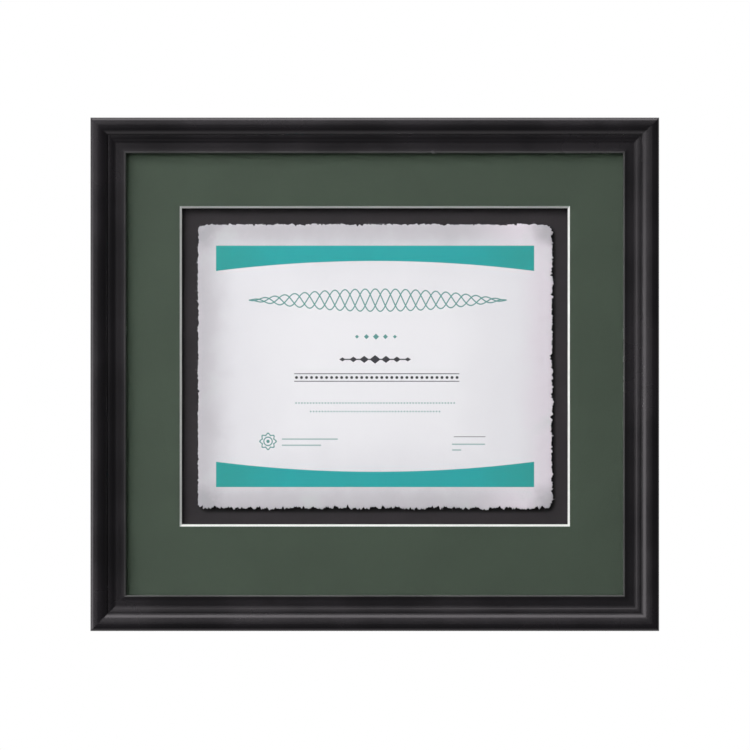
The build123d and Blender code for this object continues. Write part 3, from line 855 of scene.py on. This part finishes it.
for node in list(nodes):
    if node.startswith("turn_button_") and node != "turn_button_screws":
        first, *others = node.split("_")
        easedPlate(first + "".join(word.title() for word in others), node, node, plates["buttonEdge"])
for side in ("left", "right"):
    easedPlate("strap" + side.title(), "hanger_strap_" + side, "frame", plates["strapEdge"])
print("hardware made")

# Camera: straight in front, on a long lens
view = {"lens": 300.0, "sensor": 36.0, "field": 0.5366, "focusLevel": -0.019, "rise": -0.0005, "side": 0.00015,
        "clipEnd": 30.0}
camera = bpy.data.objects.new("camera", bpy.data.cameras.new("camera"))
bpy.context.scene.collection.objects.link(camera)
camera.data.lens = view["lens"]
camera.data.sensor_width = view["sensor"]
camera.data.clip_end = view["clipEnd"]
distance = view["field"] * view["lens"] / view["sensor"]
camera.location = (view["side"], view["focusLevel"] - distance, view["rise"])
camera.rotation_euler = (math.pi / 2, 0, 0)
bpy.context.scene.camera = camera

# Lamps around the frame: the key lights the surfaces, and the boxes only show in the gloss
lamps = {
    "keyLamp": {"from": (-0.9, -1.0, 0.9), "away": 3.0, "size": (4.2, 4.2), "power": 233.1, "seen": "diffuse"},
    "keyBox": {"from": (-0.9, -1.0, 0.9), "away": 3.0, "size": (3.0, 3.0), "power": 305.0, "seen": "gloss"},
    "leftBox": {"from": (-0.93, -0.3, -0.235), "away": 1.33, "size": (1.1, 1.0), "power": 9.0, "seen": "gloss"},
    "wallLamp": {"from": (0.75, 1.0, 0.85), "away": 2.4, "size": (1.3, 1.3), "power": 55.0, "seen": "both"},
    "topBox": {"from": (0.0, -0.22, 0.95), "away": 1.3, "size": (1.0, 1.1), "power": 10.0, "seen": "gloss"}}
for name, lamp in lamps.items():
    light = bpy.data.lights.new(name, "AREA")
    light.shape = "RECTANGLE"
    light.size, light.size_y = lamp["size"]
    light.energy = lamp["power"]
    made = bpy.data.objects.new(name, light)
    outwards = Vector(lamp["from"]).normalized()
    made.location = outwards * lamp["away"]
    made.rotation_euler = outwards.to_track_quat("Z", "Y").to_euler()
    made.visible_camera = False
    made.visible_diffuse = lamp["seen"] != "gloss"
    made.visible_glossy = lamp["seen"] != "diffuse"
    bpy.context.scene.collection.objects.link(made)

# World: white where it is seen, dimmer as light on the object; the bands are of the direction's X, Y and Z
studio = {"ambient": 0.10, "wallSide": 0.45, "wallBand": (0.0, 0.5), "rightSide": 0.30,
          "rightBand": (0.2, 0.9), "rightFrontBand": (0.0, 0.2), "front": 0.06, "behind": 1.0,
          "behindBand": (-0.3, 0.9), "below": 0.8, "belowBand": (0.7, 1.0)}
world = bpy.data.worlds.new("studio")
world.use_nodes = True
bpy.context.scene.world = world
sky = NodeMaker(world.node_tree)
rays = ("Is Camera Ray", "Is Glossy Ray", "Is Transmission Ray")
seen, glossy, through = [sky.add("LightPath", out=ray) for ray in rays]
sideAxis, depthAxis, heightAxis = sky.axes(sky.add("TexCoord", out="Generated"))
behind = sky.spread(depthAxis, *studio["behindBand"])
mirrored = studio["front"] + (studio["behind"] - studio["front"]) * behind
mirrored = mirrored.most(studio["below"] * sky.spread(0 - heightAxis, *studio["belowBand"]))
diffuse = studio["ambient"] + studio["wallSide"] * sky.spread(depthAxis, *studio["wallBand"])
fromRight = sky.spread(sideAxis, *studio["rightBand"]) * sky.spread(0 - depthAxis, *studio["rightFrontBand"])
diffuse = diffuse + studio["rightSide"] * fromRight
plain = seen.most(through)
strength = plain + (1 - plain) * (glossy * mirrored + (1 - glossy) * diffuse)
background = sky.add("Background", inputs={"Color": (1, 1, 1, 1), "Strength": strength})
sky.add("OutputWorld", inputs={"Surface": background})

# Floor, well below the hanging frame: pale paper that fades into the white behind it
floorShape = {"level": -0.45, "half": 3.0, "pale": (250, 250, 250), "shade": (247, 247, 247),
              "fleckSize": 0.002, "fleckBand": (0.3, 0.7), "roughness": 0.85, "specular": 0.2,
              "fadeBand": (0.5, 1.35)}


def floorFinish():
    finish = Finish("floorPaper")
    where = finish.place()
    x, y, _ = finish.axes(where)
    flecks = finish.cloud(where, floorShape["fleckSize"], detail=4.0, roughness=0.7)
    share = finish.spread(flecks, *floorShape["fleckBand"])
    colour = finish.mix(share, floorShape["pale"], floorShape["shade"])
    matt = finish.shader(Base_Color=colour, Roughness=floorShape["roughness"],
                         Specular_IOR_Level=floorShape["specular"])
    glow = finish.add("Emission", inputs={"Color": (1, 1, 1, 1), "Strength": 1.0})
    away = finish.spread((x * x + y * y).root(), *floorShape["fadeBand"])
    faded = finish.add("MixShader", inputs={0: away, 1: matt, 2: glow})
    finish.add("OutputMaterial", inputs={"Surface": faded})
    return finish.material


floorMesh = bpy.data.meshes.new("floor")
grid = bmesh.new()
bmesh.ops.create_grid(grid, x_segments=1, y_segments=1, size=floorShape["half"])
bmesh.ops.translate(grid, verts=grid.verts, vec=(0, 0, floorShape["level"]))
grid.to_mesh(floorMesh)
grid.free()
floorMesh.materials.append(floorFinish())
floor = bpy.data.objects.new("floor", floorMesh)
bpy.context.scene.collection.objects.link(floor)
floor.visible_diffuse = False
floor.visible_glossy = False
bpy.context.scene.view_settings.view_transform = "Standard"
print("stage set")
